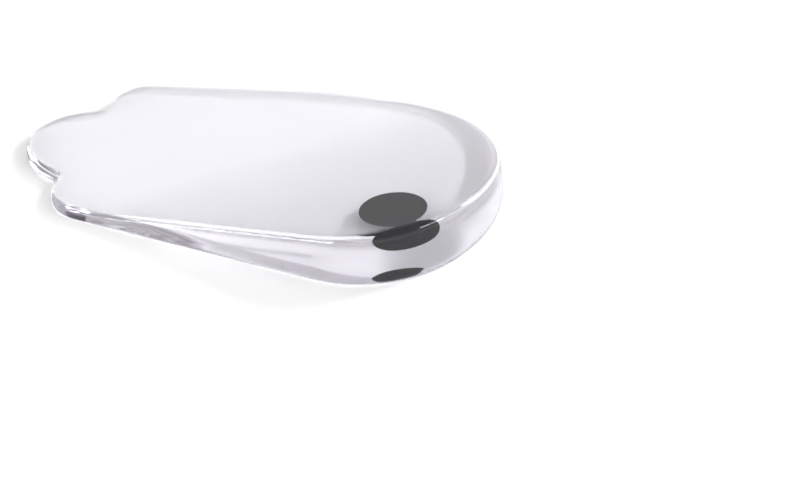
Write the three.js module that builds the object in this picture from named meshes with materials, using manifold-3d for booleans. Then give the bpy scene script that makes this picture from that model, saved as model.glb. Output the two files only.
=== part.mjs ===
// A clear gel heel wedge, one of a pair: a pad that is thick under the outer side of the heel and thins
// to a flat plate towards the inner side and the toes, with a black disc cast inside it.
// Millimetres. +Y points to the toes, +X to the foot's inner side and +Z up. The origin is under the
// middle of the pad's outline, on its underside.
import * as THREE from "three";
import { mergeVertices } from "three/addons/utils/BufferGeometryUtils.js";
import Module from "manifold-3d";

const wasm = await Module();
wasm.setup();

// Outline, seen from above. Lengths along the pad start at the back of the heel.
const PAD_LENGTH = 111.7;
const HEEL_WIDTH = 70; // the heel is an oval
const HEEL_DEPTH = 60.8;
const HEEL_TURN = 14.1; // degrees that the oval is turned, outer side to the back
const WAIST_WIDTH = 62.7; // a second oval bows the sides in front of the heel
const WAIST_DEPTH = 74.4;
const WAIST_MIDDLE = 46.7;
const WAIST_SHIFT = 2.9; // towards the inner side
const OUTER_CORNER_RADIUS = 9.8; // the two front corners
const OUTER_CORNER_OUT = 26.3; // how far the corner stands out from the centre line
const OUTER_CORNER_BACK = 12.4; // how far its front lies behind the lobe's tip
const INNER_CORNER_RADIUS = 9.2;
const INNER_CORNER_OUT = 27.1;
const INNER_CORNER_BACK = 13.1;
const LOBE_WIDTH = 29.3; // the middle lobe, an oval between the corners
const LOBE_DEPTH = 36.8;
const LOBE_SHIFT = 0.1; // towards the outer side
const NOTCH_FILL = 0.5; // how far the sharp notches beside the lobe are filled

// Thickness
const HEEL_THICKNESS = 13.1; // at the thickest point of the rim
const PLATE_THICKNESS = 2.9;
const FOLD_OUTER = 95.2; // where the fold between plate and wedge meets the heel's outer side line
const FOLD_INNER = 18.7; // where it meets the inner side line
const FOLD_BLEND = 2.7; // the width of the fold's round

// Rim
const WALL_LEAN = 0.2; // how far the side wall leans in over the full thickness
const TOP_EDGE_WIDTH = 3; // the top edge is rounded over this width
const TOP_EDGE_DROP = 5.2; // and this height
const TOP_EDGE_FULLNESS = 2.5; // 2 is a quarter of an oval, and more is squarer
const EDGE_LIMIT = 0.8; // the most of a thin wall's height that the rounding takes
const BOTTOM_EDGE_RADIUS = 0.6;

// The black disc, the pocket cast round it, and the hole that the mould's pin leaves under it
const DISC_DIAMETER = 15;
const DISC_THICKNESS = 1.5;
const DISC_EDGE = 0.3; // chamfer
const DISC_FROM_OUTER_SIDE = 17.8; // its centre, from the heel's outer side
const DISC_FROM_BACK = 18.9; // its centre, from the back of the heel
const DISC_LEVEL = 0.568; // share of the pad's thickness there at which the disc's middle lies
const DISC_CLEARANCE = 0.3;
const PIN_HOLE_DIAMETER = 2;

// Facets
const RIM_STEPS = 144;
const OVAL_STEPS = 96;
const TOP_RINGS = 8;
const TOP_EDGE_STEPS = 5;
const BOTTOM_EDGE_STEPS = 1;
const DISC_STEPS = 40;

const GEL_COLOUR = 0xe9e8f0;
const DISC_COLOUR = 0x2b2b2f;

// Points round an oval, anticlockwise
function oval(centre, width, depth, turn = 0) {
  return Array.from({ length: OVAL_STEPS }, (_, i) => {
    const angle = (2 * Math.PI * i) / OVAL_STEPS;
    const point = new THREE.Vector2((width / 2) * Math.cos(angle), (depth / 2) * Math.sin(angle));
    return point.rotateAround(new THREE.Vector2(), turn).add(centre);
  });
}

// The taut line round a set of points, anticlockwise
function wrap(points) {
  const fromLeft = [...points].sort((a, b) => a.x - b.x || a.y - b.y);
  const half = (list) => {
    const chain = [];
    for (const p of list) {
      while (chain.length > 1) {
        const [a, b] = chain.slice(-2);
        const turnsLeft = b.clone().sub(a).cross(p.clone().sub(a)) > 0;
        if (turnsLeft) break;
        chain.pop();
      }
      chain.push(p);
    }
    return chain.slice(0, -1);
  };
  return [...half(fromLeft), ...half(fromLeft.reverse())];
}

// How far a closed outline reaches from a point in a direction, or 0 where it doesn't
function reach(outline, from, direction) {
  let furthest = 0;
  outline.forEach((start, i) => {
    const edge = outline[(i + 1) % outline.length].clone().sub(start);
    const toStart = start.clone().sub(from);
    const facing = direction.cross(edge);
    const along = toStart.cross(direction) / facing;
    if (along >= 0 && along <= 1) furthest = Math.max(furthest, toStart.cross(edge) / facing);
  });
  return furthest;
}

// The larger of two lengths, filled out a little where they are nearly alike
function filledLarger(a, b) {
  const near = Math.max(0, 1 - Math.abs(a - b) / (4 * NOTCH_FILL));
  return Math.max(a, b) + NOTCH_FILL * near * near;
}

// The pad's outline: heel, waist and front corners under one taut line, and the middle lobe in front
function padOutline() {
  const turn = THREE.MathUtils.degToRad(HEEL_TURN);
  const heelToBack = Math.hypot((HEEL_WIDTH / 2) * Math.sin(turn), (HEEL_DEPTH / 2) * Math.cos(turn));
  const heel = oval(new THREE.Vector2(0, heelToBack), HEEL_WIDTH, HEEL_DEPTH, turn);
  const waist = oval(new THREE.Vector2(WAIST_SHIFT, WAIST_MIDDLE), WAIST_WIDTH, WAIST_DEPTH);
  const corner = (side, out, back, radius) => {
    const centre = new THREE.Vector2(side * (out - radius), PAD_LENGTH - back - radius);
    return oval(centre, 2 * radius, 2 * radius);
  };
  const outerCorner = corner(-1, OUTER_CORNER_OUT, OUTER_CORNER_BACK, OUTER_CORNER_RADIUS);
  const innerCorner = corner(1, INNER_CORNER_OUT, INNER_CORNER_BACK, INNER_CORNER_RADIUS);
  const body = wrap([...heel, ...waist, ...outerCorner, ...innerCorner]);
  const lobeCentre = new THREE.Vector2(-LOBE_SHIFT, PAD_LENGTH - LOBE_DEPTH / 2);
  const lobe = oval(lobeCentre, LOBE_WIDTH, LOBE_DEPTH);
  const middle = new THREE.Vector2(0, PAD_LENGTH / 2);
  return Array.from({ length: RIM_STEPS }, (_, i) => {
    const angle = (2 * Math.PI * (i + 0.5)) / RIM_STEPS;
    const direction = new THREE.Vector2(Math.cos(angle), Math.sin(angle));
    const distance = filledLarger(reach(body, middle, direction), reach(lobe, middle, direction));
    return direction.multiplyScalar(distance).add(middle);
  });
}

const outline = padOutline();

// How far a point lies behind the fold, towards the thick side
const foldStart = new THREE.Vector2(-HEEL_WIDTH / 2, FOLD_OUTER);
const foldEnd = new THREE.Vector2(HEEL_WIDTH / 2, FOLD_INNER);
const foldLine = foldEnd.clone().sub(foldStart).normalize();
const behindFold = (point) => point.clone().sub(foldStart).cross(foldLine);

// The height of the top face: flat on the plate, rising evenly behind the fold
const furthestBehind = Math.max(...outline.map(behindFold));
const wedgeSlope = (HEEL_THICKNESS - PLATE_THICKNESS) / furthestBehind;
function topHeight(point) {
  const behind = behindFold(point);
  return PLATE_THICKNESS + (wedgeSlope * (behind + Math.hypot(behind, FOLD_BLEND))) / 2;
}

// The way in from the rim at each point of the outline, square to it
function inwardAt(i) {
  const before = outline[(i + RIM_STEPS - 1) % RIM_STEPS];
  const after = outline[(i + 1) % RIM_STEPS];
  const along = after.clone().sub(before).normalize();
  return new THREE.Vector2(-along.y, along.x);
}

// Makes a quarter oval squarer, from the cosine or sine of the turn along it
function fuller(share) {
  return share ** (2 / TOP_EDGE_FULLNESS);
}

// An upright section through the rim: off the underside, round the bottom edge, up the leaning wall,
// over the top edge, and on to the middle of the top face
function padSection(rimPoint, i) {
  const inward = inwardAt(i);
  const height = topHeight(rimPoint);
  const drop = Math.min(TOP_EDGE_DROP, EDGE_LIMIT * (height - BOTTOM_EDGE_RADIUS));
  const lean = (WALL_LEAN * height) / HEEL_THICKNESS;
  const inset = (distance) => rimPoint.clone().addScaledVector(inward, distance);
  const section = [];
  for (let step = 0; step <= BOTTOM_EDGE_STEPS; step++) {
    const angle = (Math.PI / 2) * (step / BOTTOM_EDGE_STEPS);
    const point = inset(BOTTOM_EDGE_RADIUS * (1 - Math.sin(angle)));
    section.push([point, BOTTOM_EDGE_RADIUS * (1 - Math.cos(angle))]);
  }
  for (let step = 0; step <= TOP_EDGE_STEPS; step++) {
    const angle = (Math.PI / 2) * (step / TOP_EDGE_STEPS);
    const point = inset(lean + TOP_EDGE_WIDTH * (1 - fuller(Math.cos(angle))));
    section.push([point, topHeight(point) - drop * (1 - fuller(Math.sin(angle)))]);
  }
  const edge = section.at(-1)[0];
  const middle = new THREE.Vector2(0, PAD_LENGTH / 2);
  for (let ring = 1; ring < TOP_RINGS; ring++) {
    const point = edge.clone().lerp(middle, ring / TOP_RINGS);
    section.push([point, topHeight(point)]);
  }
  return section;
}

// A closed solid from sections round a middle, each a list of [place, height] from the bottom to the top
function solidRound(sections, bottomMiddle, topMiddle) {
  const perSection = sections[0].length;
  const corners = sections.flat().map(([place, height]) => new THREE.Vector3(place.x, place.y, height));
  const bottom = corners.push(bottomMiddle) - 1;
  const top = corners.push(topMiddle) - 1;
  const triangles = [];
  sections.forEach((_, i) => {
    const here = i * perSection;
    const next = ((i + 1) % sections.length) * perSection;
    triangles.push(bottom, next, here);
    for (let j = 0; j < perSection - 1; j++) {
      triangles.push(here + j, next + j, next + j + 1);
      triangles.push(here + j, next + j + 1, here + j + 1);
    }
    triangles.push(top, here + perSection - 1, next + perSection - 1);
  });
  const geometry = new THREE.BufferGeometry().setFromPoints(corners);
  geometry.setIndex(triangles);
  return geometry;
}

function padGeometry() {
  const middle = new THREE.Vector2(0, PAD_LENGTH / 2);
  const bottomMiddle = new THREE.Vector3(middle.x, middle.y, 0);
  const topMiddle = new THREE.Vector3(middle.x, middle.y, topHeight(middle));
  return solidRound(outline.map(padSection), bottomMiddle, topMiddle);
}

// A round plug with its axis upright, from a profile of [radius, height] that starts and ends on the axis
function turned(profile, place) {
  const points = profile.map(([radius, height]) => new THREE.Vector2(radius, height));
  return new THREE.LatheGeometry(points, DISC_STEPS).rotateX(Math.PI / 2).translate(place.x, place.y, 0);
}

// Joins a geometry's shared corners and hands it over as a solid
function asSolid(geometry) {
  const bare = geometry.clone();
  bare.deleteAttribute("normal");
  bare.deleteAttribute("uv");
  const merged = mergeVertices(bare, 1e-4);
  const vertProperties = new Float32Array(merged.attributes.position.array);
  const triVerts = new Uint32Array(merged.index.array);
  return new wasm.Manifold(new wasm.Mesh({ numProp: 3, vertProperties, triVerts }));
}

function asGeometry(solid) {
  const { vertProperties, triVerts } = solid.getMesh();
  const geometry = new THREE.BufferGeometry();
  geometry.setAttribute("position", new THREE.Float32BufferAttribute(vertProperties, 3));
  geometry.setIndex([...triVerts]);
  geometry.computeVertexNormals();
  return geometry;
}

const outerSide = Math.min(...outline.map((point) => point.x));
const discPlace = new THREE.Vector2(outerSide + DISC_FROM_OUTER_SIDE, DISC_FROM_BACK);
const discBottom = DISC_LEVEL * topHeight(discPlace) - DISC_THICKNESS / 2;
const discTop = discBottom + DISC_THICKNESS;

// The disc, or with a clearance all round it, the pocket that it lies in
function discProfile(clearance) {
  const radius = DISC_DIAMETER / 2 + clearance;
  const bottom = discBottom - clearance;
  const top = discTop + clearance;
  return [
    [0, bottom],
    [radius - DISC_EDGE, bottom],
    [radius, bottom + DISC_EDGE],
    [radius, top - DISC_EDGE],
    [radius - DISC_EDGE, top],
    [0, top],
  ];
}

// The pin hole runs from below the pad up into the pocket
function pinHoleProfile() {
  const radius = PIN_HOLE_DIAMETER / 2;
  return [
    [0, -DISC_THICKNESS],
    [radius, -DISC_THICKNESS],
    [radius, discBottom],
    [0, discBottom],
  ];
}

function gelPad() {
  const pocket = asSolid(turned(discProfile(DISC_CLEARANCE), discPlace));
  const pinHole = asSolid(turned(pinHoleProfile(), discPlace));
  const gel = asSolid(padGeometry()).subtract(pocket.add(pinHole));
  const finish = { color: GEL_COLOUR, roughness: 0.08, metalness: 0, transparent: true, opacity: 0.45 };
  const mesh = new THREE.Mesh(asGeometry(gel), new THREE.MeshStandardMaterial(finish));
  mesh.name = "gel_pad";
  return mesh;
}

function blackDisc() {
  const geometry = turned(discProfile(0), discPlace);
  const finish = { color: DISC_COLOUR, roughness: 0.5, metalness: 0 };
  const mesh = new THREE.Mesh(geometry, new THREE.MeshStandardMaterial(finish));
  mesh.name = "black_disc";
  return mesh;
}

// The outline's own box is centred on the origin
const box = new THREE.Box2().setFromPoints(outline);
const centre = box.getCenter(new THREE.Vector2());
const heelWedge = new THREE.Group();
heelWedge.add(gelPad(), blackDisc());
heelWedge.position.set(-centre.x, -centre.y, 0);

export default heelWedge;
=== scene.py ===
"""A clear gel heel wedge with a black disc cast inside it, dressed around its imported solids.

Lengths of the part are in millimetres, as in the part's own source, and become metres where meshes are
made. +Y points to the toes, +X to the foot's inner side and +Z up.
"""

import logging
import math
from collections.abc import Iterable
from dataclasses import dataclass
from enum import Enum

import bpy
import numpy as np
from mathutils import Matrix, Vector


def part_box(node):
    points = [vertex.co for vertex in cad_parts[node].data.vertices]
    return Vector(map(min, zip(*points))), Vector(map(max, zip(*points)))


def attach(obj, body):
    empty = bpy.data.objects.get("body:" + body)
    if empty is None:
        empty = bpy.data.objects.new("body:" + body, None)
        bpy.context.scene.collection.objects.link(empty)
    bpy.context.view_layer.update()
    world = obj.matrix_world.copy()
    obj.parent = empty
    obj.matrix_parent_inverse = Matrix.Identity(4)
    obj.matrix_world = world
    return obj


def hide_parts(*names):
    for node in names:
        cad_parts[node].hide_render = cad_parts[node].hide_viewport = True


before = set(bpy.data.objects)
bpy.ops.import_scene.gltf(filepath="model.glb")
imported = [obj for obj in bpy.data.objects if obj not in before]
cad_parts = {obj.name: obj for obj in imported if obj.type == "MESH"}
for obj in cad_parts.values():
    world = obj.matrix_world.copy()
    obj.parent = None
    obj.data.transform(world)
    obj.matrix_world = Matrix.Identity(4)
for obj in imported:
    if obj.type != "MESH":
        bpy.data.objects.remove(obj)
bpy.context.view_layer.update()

log = logging.getLogger("heel_wedge")

MM = 0.001
BODY = "root"

PARALLEL = 1e-12
INWARD = "inward"
TOP_RULE = {
    "Plate Thickness": "Float",
    "Wedge Slope": "Float",
    "Fold Start": "Vector",
    "Behind Fold": "Vector",
    "Fold Blend": "Float",
}

Socket = bpy.types.NodeSocket
Value = Socket | float | tuple[float, ...]
Colour = tuple[float, float, float, float]


class Node(Enum):
    """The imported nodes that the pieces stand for."""

    GEL_PAD = "gel_pad"
    BLACK_DISC = "black_disc"


class Slot(Enum):
    """The record's material slots."""

    CLEAR_GEL = "clear_gel"
    DISC_BLACK = "disc_black"


class Graph:
    """Adds nodes to a tree and links them, one call for each node."""

    def __init__(self, tree: bpy.types.NodeTree) -> None:
        """Starts on a tree.

        Args:
            tree: the shader or geometry tree that gets the nodes.
        """
        self.tree = tree

    def node(self, kind: str, **settings: object) -> bpy.types.Node:
        """Adds one node.

        Args:
            kind: the node's type, such as "ShaderNodeMath".
            settings: its properties by name.

        Returns:
            The new node.
        """
        made = self.tree.nodes.new(kind)
        for name, value in settings.items():
            setattr(made, name, value)
        return made

    def feed(self, socket: Socket, value: Value) -> None:
        """Links a value into a socket, or sets it there where it is a constant.

        Args:
            socket: the input.
            value: another node's output, or a number or tuple.
        """
        if isinstance(value, Socket):
            self.tree.links.new(value, socket)
        else:
            socket.default_value = value

    def math(self, operation: str, *values: Value) -> Socket:
        """Adds a Math node.

        Args:
            operation: the sum to do, such as "MULTIPLY".
            values: its inputs in order.

        Returns:
            The result.
        """
        made = self.node("ShaderNodeMath", operation=operation)
        for socket, value in zip(made.inputs, values):
            self.feed(socket, value)
        return made.outputs[0]

    def vector(self, operation: str, *values: Value) -> Socket:
        """Adds a Vector Math node.

        Args:
            operation: the sum to do, such as "DOT_PRODUCT".
            values: its inputs in order, with a Scale last where the node has one.

        Returns:
            The result, a number for a dot product and a vector otherwise.
        """
        made = self.node("ShaderNodeVectorMath", operation=operation)
        for socket, value in zip([s for s in made.inputs if s.enabled], values):
            self.feed(socket, value)
        return made.outputs["Value" if operation == "DOT_PRODUCT" else "Vector"]

    def mix(self, kind: str, share: Value, start: Value, end: Value) -> Socket:
        """Adds a Mix node.

        Args:
            kind: "FLOAT", "VECTOR" or "RGBA".
            share: 0 for the start to 1 for the end.
            start: the value at 0.
            end: the value at 1.

        Returns:
            The mixed value.
        """
        made = self.node("ShaderNodeMix", data_type=kind)
        inputs = [s for s in made.inputs if s.enabled]
        for socket, value in zip(inputs, (share, start, end)):
            self.feed(socket, value)
        return next(s for s in made.outputs if s.enabled)


def new_tree(name: str, kind: str, inputs: dict[str, str], outputs: dict[str, str]) -> bpy.types.NodeTree:
    """Makes an empty node group with named sockets.

    Args:
        name: the group's name.
        kind: "GeometryNodeTree" or "ShaderNodeTree".
        inputs: each input's name and the ending of its socket type, such as "Float".
        outputs: the same for the outputs.

    Returns:
        The group, with its Group Input and Group Output nodes left to the caller.
    """
    tree = bpy.data.node_groups.new(name, kind)
    for side, sockets in (("INPUT", inputs), ("OUTPUT", outputs)):
        for label, ending in sockets.items():
            tree.interface.new_socket(label, in_out=side, socket_type=f"NodeSocket{ending}")
    return tree


@dataclass(frozen=True)
class Oval:
    """An oval seen from above, its middle at (across, along)."""

    across: float
    along: float
    width: float
    depth: float
    turn: float = 0.0

    def points(self, steps: int) -> np.ndarray:
        """Lists the oval's points.

        Args:
            steps: how many points.

        Returns:
            Their places, anticlockwise, one row each.
        """
        angle = np.linspace(0, 2 * np.pi, steps, endpoint=False)
        x = self.width / 2 * np.cos(angle)
        y = self.depth / 2 * np.sin(angle)
        cosine, sine = math.cos(self.turn), math.sin(self.turn)
        return np.column_stack((self.across + x * cosine - y * sine, self.along + x * sine + y * cosine))


def wrapped(points: np.ndarray) -> np.ndarray:
    """Finds the taut line round a set of points.

    Args:
        points: places, one row each.

    Returns:
        The places on the line, anticlockwise.
    """
    order = points[np.lexsort((points[:, 1], points[:, 0]))]
    line: list[np.ndarray] = []
    for side in (order, order[::-1]):
        chain: list[np.ndarray] = []
        for p in side:
            while len(chain) > 1:
                a, b = chain[-2], chain[-1]
                if (b[0] - a[0]) * (p[1] - a[1]) - (b[1] - a[1]) * (p[0] - a[0]) > 0:
                    break
                chain.pop()
            chain.append(p)
        line += chain[:-1]
    return np.array(line)


def reach(line: np.ndarray, start: np.ndarray, directions: np.ndarray) -> np.ndarray:
    """Measures how far a closed line reaches from a point.

    Args:
        line: the line's places, one row each.
        start: the point.
        directions: unit directions, one row each.

    Returns:
        The furthest distance in each direction, or 0 where the line isn't met.
    """
    near = line - start
    edge = np.roll(line, -1, axis=0) - line
    facing = directions[:, None, 0] * edge[None, :, 1] - directions[:, None, 1] * edge[None, :, 0]
    facing = np.where(np.abs(facing) < PARALLEL, np.inf, facing)
    distance = (near[:, 0] * edge[:, 1] - near[:, 1] * edge[:, 0]) / facing
    along = (near[None, :, 0] * directions[:, None, 1] - near[None, :, 1] * directions[:, None, 0]) / facing
    met = (along >= 0) & (along <= 1) & np.isfinite(facing) & (distance > 0)
    return np.where(met, distance, 0).max(axis=1)


def filled_maximum(a: np.ndarray, b: np.ndarray, fill: float) -> np.ndarray:
    """Takes the larger of two lengths, and fills the notch where they cross.

    Args:
        a: the first lengths.
        b: the second lengths.
        fill: how much is added where they are equal. It fades out where they differ by four times as
            much, without a kink.

    Returns:
        The lengths.
    """
    fade = 4 * fill
    near = np.maximum(0, 1 - np.abs(a - b) / fade)
    return np.maximum(a, b) + fill * near**2


@dataclass(frozen=True)
class PadOutline:
    """The pad's outline from above. Lengths along it start at the back of the heel."""

    length: float = 111.7
    heel_width: float = 70.0
    heel_depth: float = 60.8
    heel_turn: float = math.radians(14.1)
    waist_width: float = 62.7
    waist_depth: float = 74.4
    waist_middle: float = 46.7
    waist_shift: float = 2.9
    outer_corner: tuple[float, float, float] = (9.8, 26.3, 12.4)
    inner_corner: tuple[float, float, float] = (9.2, 27.1, 13.1)
    lobe_width: float = 29.3
    lobe_depth: float = 36.8
    lobe_shift: float = 0.1
    notch_fill: float = 0.5
    oval_steps: int = 720
    steps: int = 1080
    softening: float = 0.5

    def corner(self, side: int, sizes: tuple[float, float, float]) -> Oval:
        """Places one front corner.

        Args:
            side: -1 for the outer side, 1 for the inner.
            sizes: its radius, how far it stands out from the centre line, and how far its front lies
                behind the lobe's tip.

        Returns:
            The corner's circle.
        """
        radius, out, back = sizes
        return Oval(side * (out - radius), self.length - back - radius, 2 * radius, 2 * radius)

    def rough(self) -> np.ndarray:
        """Works out the outline as it is in the part's source, at even angles round its middle."""
        heel_to_back = math.hypot(
            self.heel_width / 2 * math.sin(self.heel_turn), self.heel_depth / 2 * math.cos(self.heel_turn)
        )
        body = (
            Oval(0, heel_to_back, self.heel_width, self.heel_depth, self.heel_turn),
            Oval(self.waist_shift, self.waist_middle, self.waist_width, self.waist_depth),
            self.corner(-1, self.outer_corner),
            self.corner(1, self.inner_corner),
        )
        lobe = Oval(-self.lobe_shift, self.length - self.lobe_depth / 2, self.lobe_width, self.lobe_depth)
        angle = np.linspace(0, 2 * np.pi, self.steps, endpoint=False)
        directions = np.column_stack((np.cos(angle), np.sin(angle)))
        middle = np.array((0, self.length / 2))
        taut = wrapped(np.vstack([oval.points(self.oval_steps) for oval in body]))
        a = reach(taut, middle, directions)
        b = reach(lobe.points(self.oval_steps), middle, directions)
        reached = filled_maximum(a, b, self.notch_fill)
        return middle + directions * reached[:, None]

    def places(self) -> tuple[np.ndarray, np.ndarray]:
        """Spaces the outline evenly and softens it a little, as a mould's edge is.

        Returns:
            The places round the rim, and the unit directions in from it, one row each.
        """
        rough = self.rough()
        closed = np.vstack((rough, rough[:1]))
        walked = np.concatenate(([0], np.cumsum(np.linalg.norm(np.diff(closed, axis=0), axis=1))))
        even = np.linspace(0, walked[-1], self.steps, endpoint=False)
        line = np.column_stack([np.interp(even, walked, closed[:, axis]) for axis in (0, 1)])
        step = walked[-1] / self.steps
        frequency = np.fft.fftfreq(self.steps, step)
        soft = np.exp(-2 * (math.pi * self.softening * frequency) ** 2)
        line = np.column_stack([np.fft.ifft(np.fft.fft(line[:, axis]) * soft).real for axis in (0, 1)])
        along = np.roll(line, -1, axis=0) - np.roll(line, 1, axis=0)
        along /= np.linalg.norm(along, axis=1)[:, None]
        return line, np.column_stack((-along[:, 1], along[:, 0]))


def ring_faces(rings: int, steps: int) -> list[tuple[int, ...]]:
    """Joins rings of points into a closed skin, from a bottom middle point to a top middle point.

    Args:
        rings: how many rings, whose points come first, ring after ring.
        steps: how many points each ring has. The bottom middle comes after the rings, then the top.

    Returns:
        The faces, all turned outwards.
    """
    bottom, top = rings * steps, rings * steps + 1
    last = (rings - 1) * steps
    faces: list[tuple[int, ...]] = []
    for i in range(steps):
        j = (i + 1) % steps
        faces.append((bottom, j, i))
        faces += [(r + i, r + j, r + steps + j, r + steps + i) for r in range(0, last, steps)]
        faces.append((top, last + i, last + j))
    return faces


def new_object(
    name: str, points: Iterable[Iterable[float]], faces: list[tuple[int, ...]]
) -> bpy.types.Object:
    """Makes a smooth mesh object at the origin.

    Args:
        name: the object's name.
        points: its corners, in metres.
        faces: its faces.

    Returns:
        The object, linked to the scene.
    """
    mesh = bpy.data.meshes.new(name)
    mesh.from_pydata([tuple(p) for p in points], [], faces)
    mesh.shade_smooth()
    made = bpy.data.objects.new(name, mesh)
    bpy.context.scene.collection.objects.link(made)
    return made


def plain_copy(source: bpy.types.Object, name: str) -> bpy.types.Object:
    """Turns an object with modifiers into a plain mesh, and deletes the object.

    Args:
        source: the object.
        name: the new object's name.

    Returns:
        The new object at the origin, with no modifier.
    """
    depsgraph = bpy.context.evaluated_depsgraph_get()
    mesh = bpy.data.meshes.new_from_object(source.evaluated_get(depsgraph), depsgraph=depsgraph)
    bpy.data.objects.remove(source)
    mesh.name = name
    made = bpy.data.objects.new(name, mesh)
    bpy.context.scene.collection.objects.link(made)
    return made


def cast_surface_group() -> bpy.types.NodeTree:
    """Builds the unevenness of a cast surface: long soft waves, fine grain and rougher patches.

    Returns:
        A shader group with the inputs Wave Size, Wave Depth, Grain Size, Grain Depth, Patch Size, Smoothest
        and Roughest, lengths in metres, and the outputs Height and Roughness.
    """
    labels = ("Wave Size", "Wave Depth", "Grain Size", "Grain Depth", "Patch Size", "Smoothest", "Roughest")
    outputs = {"Height": "Float", "Roughness": "Float"}
    tree = new_tree("cast_surface", "ShaderNodeTree", dict.fromkeys(labels, "Float"), outputs)
    graph = Graph(tree)
    given = graph.node("NodeGroupInput").outputs
    place = graph.node("ShaderNodeTexCoord").outputs["Object"]

    def noise(size: Socket, detail: float) -> Socket:
        """Adds a noise whose features have a given size.

        Args:
            size: the size in metres.
            detail: how many finer layers it has.

        Returns:
            A number round 0.
        """
        made = graph.node("ShaderNodeTexNoise", noise_dimensions="3D")
        graph.feed(made.inputs["Vector"], place)
        graph.feed(made.inputs["Scale"], graph.math("DIVIDE", 1.0, size))
        made.inputs["Detail"].default_value = detail
        return graph.math("SUBTRACT", made.outputs["Fac"], 0.5)

    waves = graph.math("MULTIPLY", noise(given["Wave Size"], detail=1.0), given["Wave Depth"])
    grain = graph.math("MULTIPLY", noise(given["Grain Size"], detail=2.0), given["Grain Depth"])
    patches = graph.math("ADD", noise(given["Patch Size"], detail=3.0), 0.5)
    result = graph.node("NodeGroupOutput").inputs
    graph.feed(result["Height"], graph.math("ADD", waves, grain))
    graph.feed(result["Roughness"], graph.mix("FLOAT", patches, given["Smoothest"], given["Roughest"]))
    return tree


@dataclass(frozen=True)
class CastSurface:
    """How uneven one material's cast surface is, in metres, with the roughness of its shine."""

    wave_size: float
    wave_depth: float
    grain_size: float
    grain_depth: float
    patch_size: float
    smoothest: float
    roughest: float

    def dress(self, graph: Graph, shader: bpy.types.Node, tree: bpy.types.NodeTree) -> None:
        """Puts the shared group in a material and links it to the shader's Roughness and Normal.

        Args:
            graph: the material's nodes.
            shader: its Principled BSDF.
            tree: the shared group.
        """
        group = graph.node("ShaderNodeGroup", node_tree=tree)
        for label, value in (
            ("Wave Size", self.wave_size),
            ("Wave Depth", self.wave_depth),
            ("Grain Size", self.grain_size),
            ("Grain Depth", self.grain_depth),
            ("Patch Size", self.patch_size),
            ("Smoothest", self.smoothest),
            ("Roughest", self.roughest),
        ):
            group.inputs[label].default_value = value
        bump = graph.node("ShaderNodeBump")
        bump.inputs["Distance"].default_value = 1.0
        graph.feed(bump.inputs["Height"], group.outputs["Height"])
        graph.feed(shader.inputs["Normal"], bump.outputs["Normal"])
        graph.feed(shader.inputs["Roughness"], group.outputs["Roughness"])


def new_material(name: str) -> tuple[bpy.types.Material, Graph, bpy.types.Node, bpy.types.Node]:
    """Makes a material with an empty Principled BSDF.

    Args:
        name: the material's name.

    Returns:
        The material, its graph, its shader and its Material Output.
    """
    material = bpy.data.materials.new(name)
    material.use_nodes = True
    nodes = material.node_tree.nodes
    return material, Graph(material.node_tree), nodes["Principled BSDF"], nodes["Material Output"]


@dataclass(frozen=True)
class ClearGel:
    """The clear gel: glossy, hardly tinted, and clear right through."""

    tint: Colour = (0.965, 0.96, 0.98, 1.0)
    ior: float = 1.5
    depth_colour: Colour = (0.80, 0.79, 0.815, 1.0)
    depth_density: float = 48.0
    surface: CastSurface = CastSurface(
        wave_size=0.025,
        wave_depth=0.00001,
        grain_size=0.0012,
        grain_depth=0.0000004,
        patch_size=0.01,
        smoothest=0.01,
        roughest=0.04,
    )

    def material(self, tree: bpy.types.NodeTree) -> bpy.types.Material:
        """Builds the material.

        Args:
            tree: the shared cast surface group.

        Returns:
            The material.
        """
        material, graph, shader, output = new_material("clear_gel")
        shader.inputs["Base Color"].default_value = self.tint
        shader.inputs["Metallic"].default_value = 0.0
        shader.inputs["IOR"].default_value = self.ior
        shader.inputs["Transmission Weight"].default_value = 1.0
        self.surface.dress(graph, shader, tree)
        depth = graph.node("ShaderNodeVolumeAbsorption")
        depth.inputs["Color"].default_value = self.depth_colour
        depth.inputs["Density"].default_value = self.depth_density
        graph.feed(output.inputs["Volume"], depth.outputs["Volume"])
        return material


@dataclass(frozen=True)
class BlackCasting:
    """The disc's finish: dark grey, pressed from powder, with a fine even grain."""

    dark: Colour = (0.005, 0.005, 0.008, 1.0)
    pale: Colour = (0.014, 0.014, 0.019, 1.0)
    mottle_size: float = 0.002
    mottle_detail: float = 4.0
    ior: float = 1.15
    surface: CastSurface = CastSurface(
        wave_size=0.008,
        wave_depth=0.00003,
        grain_size=0.00025,
        grain_depth=0.000008,
        patch_size=0.003,
        smoothest=0.45,
        roughest=0.65,
    )

    def material(self, tree: bpy.types.NodeTree) -> bpy.types.Material:
        """Builds the material.

        Args:
            tree: the shared cast surface group.

        Returns:
            The material.
        """
        material, graph, shader, _ = new_material("disc_black")
        mottle = graph.node("ShaderNodeTexNoise")
        graph.feed(mottle.inputs["Vector"], graph.node("ShaderNodeTexCoord").outputs["Object"])
        mottle.inputs["Scale"].default_value = 1 / self.mottle_size
        mottle.inputs["Detail"].default_value = self.mottle_detail
        colour = graph.mix("RGBA", mottle.outputs["Fac"], self.dark, self.pale)
        graph.feed(shader.inputs["Base Color"], colour)
        shader.inputs["IOR"].default_value = self.ior
        self.surface.dress(graph, shader, tree)
        return material


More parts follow.
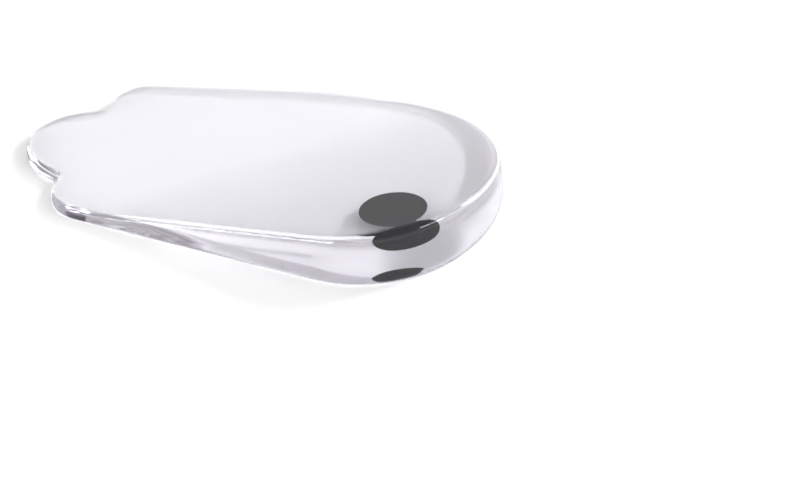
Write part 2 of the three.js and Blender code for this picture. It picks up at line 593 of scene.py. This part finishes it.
def top_height_group() -> bpy.types.NodeTree:
    """Builds the rule for the height of the pad's top face.

    Returns:
        A geometry group from a Place to the Height there: flat in front of the fold, and rising evenly
        behind it.
    """
    inputs = {"Place": "Vector", **TOP_RULE}
    tree = new_tree("top_height", "GeometryNodeTree", inputs, {"Height": "Float"})
    graph = Graph(tree)
    given = graph.node("NodeGroupInput").outputs
    from_fold = graph.vector("SUBTRACT", given["Place"], given["Fold Start"])
    behind = graph.vector("DOT_PRODUCT", from_fold, given["Behind Fold"])
    blend_square = graph.math("POWER", given["Fold Blend"], 2.0)
    squares = graph.math("ADD", graph.math("POWER", behind, 2.0), blend_square)
    ramp = graph.math("MULTIPLY", graph.math("ADD", behind, graph.math("SQRT", squares)), 0.5)
    rise = graph.math("MULTIPLY", ramp, given["Wedge Slope"])
    height = graph.math("ADD", rise, given["Plate Thickness"])
    graph.feed(graph.node("NodeGroupOutput").inputs["Height"], height)
    return tree


class Station(Enum):
    """The numbers that each ring of the unformed pad carries, read by the pad's geometry tree."""

    BOTTOM_TURN = "bottom_turn"
    WALL_SHARE = "wall_share"
    TOP_TURN = "top_turn"
    INNER_SHARE = "inner_share"


@dataclass(frozen=True)
class GelPad:
    """The gel casting: its outline, its wedge-shaped top and its rounded rim."""

    finish: ClearGel
    outline: PadOutline = PadOutline()
    heel_thickness: float = 13.1
    plate_thickness: float = 2.9
    fold_outer: float = 95.2
    fold_inner: float = 18.7
    fold_blend: float = 2.7
    wall_lean: float = 0.2
    edge_width: float = 3.0
    edge_drop: float = 5.2
    edge_fullness: float = 2.5
    edge_limit: float = 0.8
    bottom_radius: float = 0.6
    underside_rings: int = 4
    bottom_rings: int = 6
    wall_rings: int = 6
    top_rings: int = 28
    inner_rings: int = 24

    def stations(self) -> list[tuple[float, float, float, float]]:
        """Lists the rings from the underside's middle over the rim to the top face's middle.

        Returns:
            For each ring its turn round the bottom edge, its share of the wall's height, its turn round
            the top edge, and its share of the way to the pad's middle.
        """
        quarter = math.pi / 2
        rings = [(0.0, 0.0, 0.0, 1 - i / self.underside_rings) for i in range(1, self.underside_rings)]
        rings += [(quarter * i / self.bottom_rings, 0.0, 0.0, 0.0) for i in range(self.bottom_rings)]
        rings += [(quarter, i / self.wall_rings, 0.0, 0.0) for i in range(self.wall_rings)]
        rings += [(quarter, 1.0, quarter * i / self.top_rings, 0.0) for i in range(self.top_rings)]
        rings += [(quarter, 1.0, quarter, i / self.inner_rings) for i in range(self.inner_rings)]
        return rings

    def unformed(self, places: np.ndarray, inward: np.ndarray) -> bpy.types.Object:
        """Makes the pad's skin flat on its outline, with every ring's numbers, for the tree to form.

        Args:
            places: the rim's places in millimetres.
            inward: the directions in from the rim.

        Returns:
            The flat object.
        """
        rings = self.stations()
        steps = len(places)
        low, high = places.min(axis=0), places.max(axis=0)
        centre = (low + high) / 2
        flat = np.column_stack((places - centre, np.zeros(steps))) * MM
        skin = np.vstack([np.tile(flat, (len(rings), 1)), np.zeros((2, 3))])
        made = new_object("pad_skin", skin, ring_faces(len(rings), steps))
        ends = [(0.0, 0.0, 0.0, 1.0), (math.pi / 2, 1.0, math.pi / 2, 1.0)]
        numbers = np.vstack([np.repeat(np.array(rings), steps, axis=0), np.array(ends)])
        for station, column in zip(Station, numbers.T):
            layer = made.data.attributes.new(station.value, "FLOAT", "POINT")
            layer.data.foreach_set("value", np.ascontiguousarray(column, dtype=np.float32))
        level = np.column_stack((inward, np.zeros(steps)))
        ways = np.vstack([np.tile(level, (len(rings), 1)), np.zeros((2, 3))])
        layer = made.data.attributes.new(INWARD, "FLOAT_VECTOR", "POINT")
        layer.data.foreach_set("vector", np.ascontiguousarray(ways, dtype=np.float32).ravel())
        return made

    def form_tree(self) -> bpy.types.NodeTree:
        """Builds the geometry tree that forms the flat skin into the pad.

        Returns:
            The tree, with an input for each size.
        """
        rim_inputs = {
            "Heel Thickness": "Float",
            "Wall Lean": "Float",
            "Edge Width": "Float",
            "Edge Drop": "Float",
            "Edge Limit": "Float",
            "Edge Power": "Float",
            "Bottom Radius": "Float",
            "Middle": "Vector",
            "Material": "Material",
        }
        inputs = {"Geometry": "Geometry", **TOP_RULE, **rim_inputs}
        tree = new_tree("form_pad", "GeometryNodeTree", inputs, {"Geometry": "Geometry"})
        graph = Graph(tree)
        given = graph.node("NodeGroupInput").outputs
        height_rule = top_height_group()

        def attribute(name: str, kind: str = "FLOAT") -> Socket:
            """Reads one of the skin's numbers.

            Args:
                name: the attribute's name.
                kind: its type.

            Returns:
                Its value at each point.
            """
            made = graph.node("GeometryNodeInputNamedAttribute", data_type=kind)
            made.inputs["Name"].default_value = name
            return made.outputs["Attribute"]

        def top_height(place: Socket) -> Socket:
            """Works out the top face's height.

            Args:
                place: where.

            Returns:
                The height there.
            """
            group = graph.node("GeometryNodeGroup", node_tree=height_rule)
            graph.feed(group.inputs["Place"], place)
            for label in TOP_RULE:
                graph.feed(group.inputs[label], given[label])
            return group.outputs["Height"]

        def hidden_part(width: Socket, turn: Socket, function: str, power: Value = 1.0) -> Socket:
            """Works out how far a rounded edge is from its full width or height.

            Args:
                width: the edge's full width or height.
                turn: the turn round it.
                function: "SINE" or "COSINE".
                power: 1 for a quarter oval, and less for a squarer edge.

            Returns:
                The width times one less the power of the turn's sine or cosine.
            """
            share = graph.math("POWER", graph.math("MAXIMUM", graph.math(function, turn), 0.0), power)
            return graph.math("MULTIPLY", width, graph.math("SUBTRACT", 1.0, share))

        bottom_turn, wall_share, top_turn, inner_share = (attribute(s.value) for s in Station)
        power = given["Edge Power"]
        rim = graph.node("GeometryNodeInputPosition").outputs["Position"]
        rim_height = top_height(rim)
        over_edge = graph.math("SUBTRACT", rim_height, given["Bottom Radius"])
        most = graph.math("MULTIPLY", over_edge, given["Edge Limit"])
        drop = graph.math("MINIMUM", given["Edge Drop"], most)
        lean = graph.math("MULTIPLY", given["Wall Lean"], rim_height)
        lean = graph.math("DIVIDE", lean, given["Heel Thickness"])
        foot = hidden_part(given["Bottom Radius"], bottom_turn, "SINE")
        inset = graph.math("ADD", foot, graph.math("MULTIPLY", lean, wall_share))
        inset = graph.math("ADD", inset, hidden_part(given["Edge Width"], top_turn, "COSINE", power))
        place = graph.vector("ADD", rim, graph.vector("SCALE", attribute(INWARD, "FLOAT_VECTOR"), inset))
        place = graph.mix("VECTOR", inner_share, place, given["Middle"])
        high = graph.math("SUBTRACT", top_height(place), hidden_part(drop, top_turn, "SINE", power))
        low = hidden_part(given["Bottom Radius"], bottom_turn, "COSINE")
        split = graph.node("ShaderNodeSeparateXYZ")
        graph.feed(split.inputs[0], place)
        formed = graph.node("ShaderNodeCombineXYZ")
        graph.feed(formed.inputs["X"], split.outputs["X"])
        graph.feed(formed.inputs["Y"], split.outputs["Y"])
        graph.feed(formed.inputs["Z"], graph.mix("FLOAT", wall_share, low, high))
        moved = graph.node("GeometryNodeSetPosition")
        graph.feed(moved.inputs["Geometry"], given["Geometry"])
        graph.feed(moved.inputs["Position"], formed.outputs["Vector"])
        realized = graph.node("GeometryNodeRealizeInstances")
        graph.feed(realized.inputs["Geometry"], moved.outputs["Geometry"])
        dressed = graph.node("GeometryNodeSetMaterial")
        graph.feed(dressed.inputs["Geometry"], realized.outputs["Geometry"])
        graph.feed(dressed.inputs["Material"], given["Material"])
        graph.feed(graph.node("NodeGroupOutput").inputs["Geometry"], dressed.outputs["Geometry"])
        return tree

    def fold(self, places: np.ndarray) -> tuple[np.ndarray, np.ndarray, float]:
        """Works out the fold between the plate and the wedge.

        Args:
            places: the rim's places in millimetres.

        Returns:
            A point on the fold, the direction to the thick side, and the wedge's slope.
        """
        half = self.outline.heel_width / 2
        start, end = np.array((-half, self.fold_outer)), np.array((half, self.fold_inner))
        along = (end - start) / np.linalg.norm(end - start)
        behind = np.array((along[1], -along[0]))
        furthest = ((places - start) @ behind).max()
        return start, behind, (self.heel_thickness - self.plate_thickness) / furthest

    def build(self, tree: bpy.types.NodeTree) -> bpy.types.Object:
        """Makes the finished pad.

        Args:
            tree: the shared cast surface group.

        Returns:
            The pad as a plain mesh.
        """
        places, inward = self.outline.places()
        centre = (places.min(axis=0) + places.max(axis=0)) / 2
        start, behind, slope = self.fold(places)
        skin = self.unformed(places, inward)
        form = skin.modifiers.new("form", "NODES")
        form.node_group = self.form_tree()
        middle = np.array((0, self.outline.length / 2))
        sizes: dict[str, object] = {
            "Plate Thickness": self.plate_thickness * MM,
            "Wedge Slope": slope,
            "Fold Start": (*(start - centre) * MM, 0.0),
            "Behind Fold": (*behind, 0.0),
            "Fold Blend": self.fold_blend * MM,
            "Heel Thickness": self.heel_thickness * MM,
            "Wall Lean": self.wall_lean * MM,
            "Edge Width": self.edge_width * MM,
            "Edge Drop": self.edge_drop * MM,
            "Edge Limit": self.edge_limit,
            "Edge Power": 2 / self.edge_fullness,
            "Bottom Radius": self.bottom_radius * MM,
            "Middle": (*(middle - centre) * MM, 0.0),
            "Material": self.finish.material(tree),
        }
        for socket in form.node_group.interface.items_tree:
            if socket.in_out == "INPUT" and socket.name in sizes:
                form[socket.identifier] = sizes[socket.name]
        pad = plain_copy(skin, "clear_pad")
        for name in [*(s.value for s in Station), INWARD]:
            pad.data.attributes.remove(pad.data.attributes[name])
        pad.data.shade_smooth()
        return pad


@dataclass(frozen=True)
class BlackDisc:
    """The disc inside the gel, with softly rounded edges."""

    finish: BlackCasting
    edge_radius: float = 0.35
    edge_rings: int = 6
    face_rings: int = 4
    steps: int = 160

    def build(self, tree: bpy.types.NodeTree) -> bpy.types.Object:
        """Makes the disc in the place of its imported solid.

        Args:
            tree: the shared cast surface group.

        Returns:
            The disc.
        """
        low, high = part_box(Node.BLACK_DISC.value)
        centre, radius = (low + high) / 2, (high.x - low.x) / 2
        edge = self.edge_radius * MM
        profile = [((radius - edge) * i / self.face_rings, low.z) for i in range(1, self.face_rings)]
        for turn in range(self.edge_rings + 1):
            angle = math.pi / 2 * turn / self.edge_rings
            profile.append((radius - edge * (1 - math.sin(angle)), low.z + edge * (1 - math.cos(angle))))
        profile += [(r, high.z - (z - low.z)) for r, z in reversed(profile)]
        points = []
        for r, z in profile:
            for i in range(self.steps):
                angle = 2 * math.pi * i / self.steps
                points.append((centre.x + r * math.cos(angle), centre.y + r * math.sin(angle), z))
        points += [(centre.x, centre.y, low.z), (centre.x, centre.y, high.z)]
        disc = new_object("cast_in_disc", points, ring_faces(len(profile), self.steps))
        disc.data.materials.append(self.finish.material(tree))
        return disc


def outwards(azimuth: float, elevation: float) -> Vector:
    """Finds the direction from the pad to something round it.

    Args:
        azimuth: its angle in degrees, as a view's: a camera at 0 looks along +Y.
        elevation: its angle above the floor in degrees.

    Returns:
        The unit direction.
    """
    a, e = math.radians(azimuth), math.radians(elevation)
    return Vector((math.sin(a) * math.cos(e), -math.cos(a) * math.cos(e), math.sin(e)))


@dataclass(frozen=True)
class Softbox:
    """One rectangular studio lamp that shines at the pad. Angles are as a view's: 0 looks along +Y."""

    name: str
    azimuth: float
    elevation: float
    distance: float
    width: float
    depth: float
    power: float

    def build(self) -> None:
        """Makes the lamp."""
        out = outwards(self.azimuth, self.elevation)
        light = bpy.data.lights.new(self.name, "AREA")
        light.shape = "RECTANGLE"
        light.size, light.size_y = self.width, self.depth
        light.energy = self.power
        lamp = bpy.data.objects.new(self.name, light)
        lamp.location = out * self.distance
        lamp.rotation_euler = out.to_track_quat("Z", "Y").to_euler()
        bpy.context.scene.collection.objects.link(lamp)


@dataclass(frozen=True)
class PhotoCamera:
    """The camera at the photo's angle, its axis through a point on the floor."""

    aim: tuple[float, float, float] = (-15.93 * MM, -37.65 * MM, 0.0)
    distance: float = 732.0 * MM
    azimuth: float = -71.53
    elevation: float = 35.73
    roll: float = -2.49
    focal_pixels: float = 3345.7
    photo_width: int = 800
    sensor_width: float = 36.0
    nearest: float = 0.01

    def build(self) -> None:
        """Makes the camera and gives it to the scene."""
        back = outwards(self.azimuth, self.elevation)
        data = bpy.data.cameras.new("photo_camera")
        data.sensor_width = self.sensor_width
        data.lens = self.sensor_width * self.focal_pixels / self.photo_width
        data.clip_start = self.nearest
        camera = bpy.data.objects.new("photo_camera", data)
        turn = (-back).to_track_quat("-Z", "Y").to_matrix().to_4x4()
        tip = Matrix.Rotation(math.radians(self.roll), 4, "Z")
        camera.matrix_world = Matrix.Translation(Vector(self.aim) + back * self.distance) @ turn @ tip
        bpy.context.scene.collection.objects.link(camera)
        bpy.context.scene.camera = camera


@dataclass(frozen=True)
class Studio:
    """A pale floor, a bright room and three soft lamps, with lengths in metres and angles in degrees."""

    camera: PhotoCamera = PhotoCamera()
    lamps: tuple[Softbox, ...] = (
        Softbox(
            "heel_key", azimuth=43.0, elevation=27.0, distance=1.1, width=0.26, depth=0.26, power=6.0
        ),
        Softbox(
            "left_softbox", azimuth=235.0, elevation=22.0, distance=1.1, width=0.60, depth=0.22, power=3.4
        ),
        Softbox(
            "right_softbox", azimuth=-5.0, elevation=34.0, distance=1.1, width=0.45, depth=0.20, power=2.4
        ),
    )
    floor_colour: Colour = (0.93, 0.93, 0.93, 1.0)
    floor_half_width: float = 3.0
    floor_gap: float = 0.00015
    room_horizon: float = 1.5
    room_high: float = 0.72
    high_rise: tuple[float, float] = (0.25, 0.58)
    dim_strength: float = 0.78
    dim_azimuth: float = 116.0
    dim_elevation: float = 15.0
    dim_spread: tuple[float, float] = (0.960, 0.995)
    room_colour: Colour = (1.0, 1.0, 1.0, 1.0)
    gel_bounces: int = 128
    floor_bounces: int = 6
    brightest_sample: float = 30.0

    def floor(self) -> bpy.types.Object:
        """Makes the floor just below the pad, so that a film of air lies between them."""
        w, z = self.floor_half_width, -self.floor_gap
        floor = new_object("floor", [(-w, -w, z), (w, -w, z), (w, w, z), (-w, w, z)], [(0, 1, 2, 3)])
        material, _, shader, _ = new_material("pale_floor")
        shader.inputs["Base Color"].default_value = self.floor_colour
        shader.inputs["Roughness"].default_value = 1.0
        shader.inputs["Specular IOR Level"].default_value = 0.0
        floor.data.materials.append(material)
        return floor

    def room(self) -> None:
        """Makes the room's own light: brightest at the horizon, with a dim spot behind the pad."""
        world = bpy.data.worlds.new("bright_room")
        world.use_nodes = True
        graph = Graph(world.node_tree)
        direction = graph.node("ShaderNodeTexCoord").outputs["Generated"]
        split = graph.node("ShaderNodeSeparateXYZ")
        graph.feed(split.inputs[0], direction)

        def risen(value: Socket, start: float, end: float) -> Socket:
            """Works out how far a value has come between two others.

            Args:
                value: the value.
                start: the lower one.
                end: the higher one.

            Returns:
                0 below the start to 1 above the end.
            """
            made = graph.node("ShaderNodeMapRange", interpolation_type="SMOOTHSTEP")
            graph.feed(made.inputs["Value"], value)
            graph.feed(made.inputs["From Min"], start)
            graph.feed(made.inputs["From Max"], end)
            return made.outputs["Result"]

        height = risen(split.outputs["Z"], *self.high_rise)
        strength = graph.mix("FLOAT", height, self.room_horizon, self.room_high)
        dim_spot = tuple(outwards(self.dim_azimuth, self.dim_elevation))
        near_dim = graph.vector("DOT_PRODUCT", direction, dim_spot)
        strength = graph.mix("FLOAT", risen(near_dim, *self.dim_spread), strength, self.dim_strength)
        background = world.node_tree.nodes["Background"]
        background.inputs["Color"].default_value = self.room_colour
        graph.feed(background.inputs["Strength"], strength)
        bpy.context.scene.world = world

    def look(self) -> None:
        """Sets how light is followed through the gel and how the picture's tones are kept."""
        cycles = bpy.context.scene.cycles
        cycles.use_denoising = True
        cycles.caustics_refractive = True
        cycles.caustics_reflective = True
        cycles.blur_glossy = 0.0
        cycles.sample_clamp_indirect = self.brightest_sample
        cycles.max_bounces = self.gel_bounces
        cycles.transmission_bounces = self.gel_bounces
        cycles.glossy_bounces = self.gel_bounces
        cycles.diffuse_bounces = self.floor_bounces
        bpy.context.scene.view_settings.view_transform = "Standard"

    def build(self) -> bpy.types.Object:
        """Makes everything round the object.

        Returns:
            The floor.
        """
        self.camera.build()
        for lamp in self.lamps:
            lamp.build()
        self.room()
        self.look()
        return self.floor()


def main() -> None:
    """Builds the studio and the two pieces, and ties each piece to the frame."""
    logging.basicConfig(level=logging.INFO, format="%(name)s: %(message)s")
    Studio().build()
    tree = cast_surface_group()
    pad = GelPad(ClearGel()).build(tree)
    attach(pad, BODY)
    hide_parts(Node.GEL_PAD.value)
    disc = BlackDisc(BlackCasting()).build(tree)
    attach(disc, BODY)
    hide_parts(Node.BLACK_DISC.value)
    for piece in (pad, disc):
        log.info("%s has %d faces", piece.name, len(piece.data.polygons))


if __name__ == "__main__":
    main()
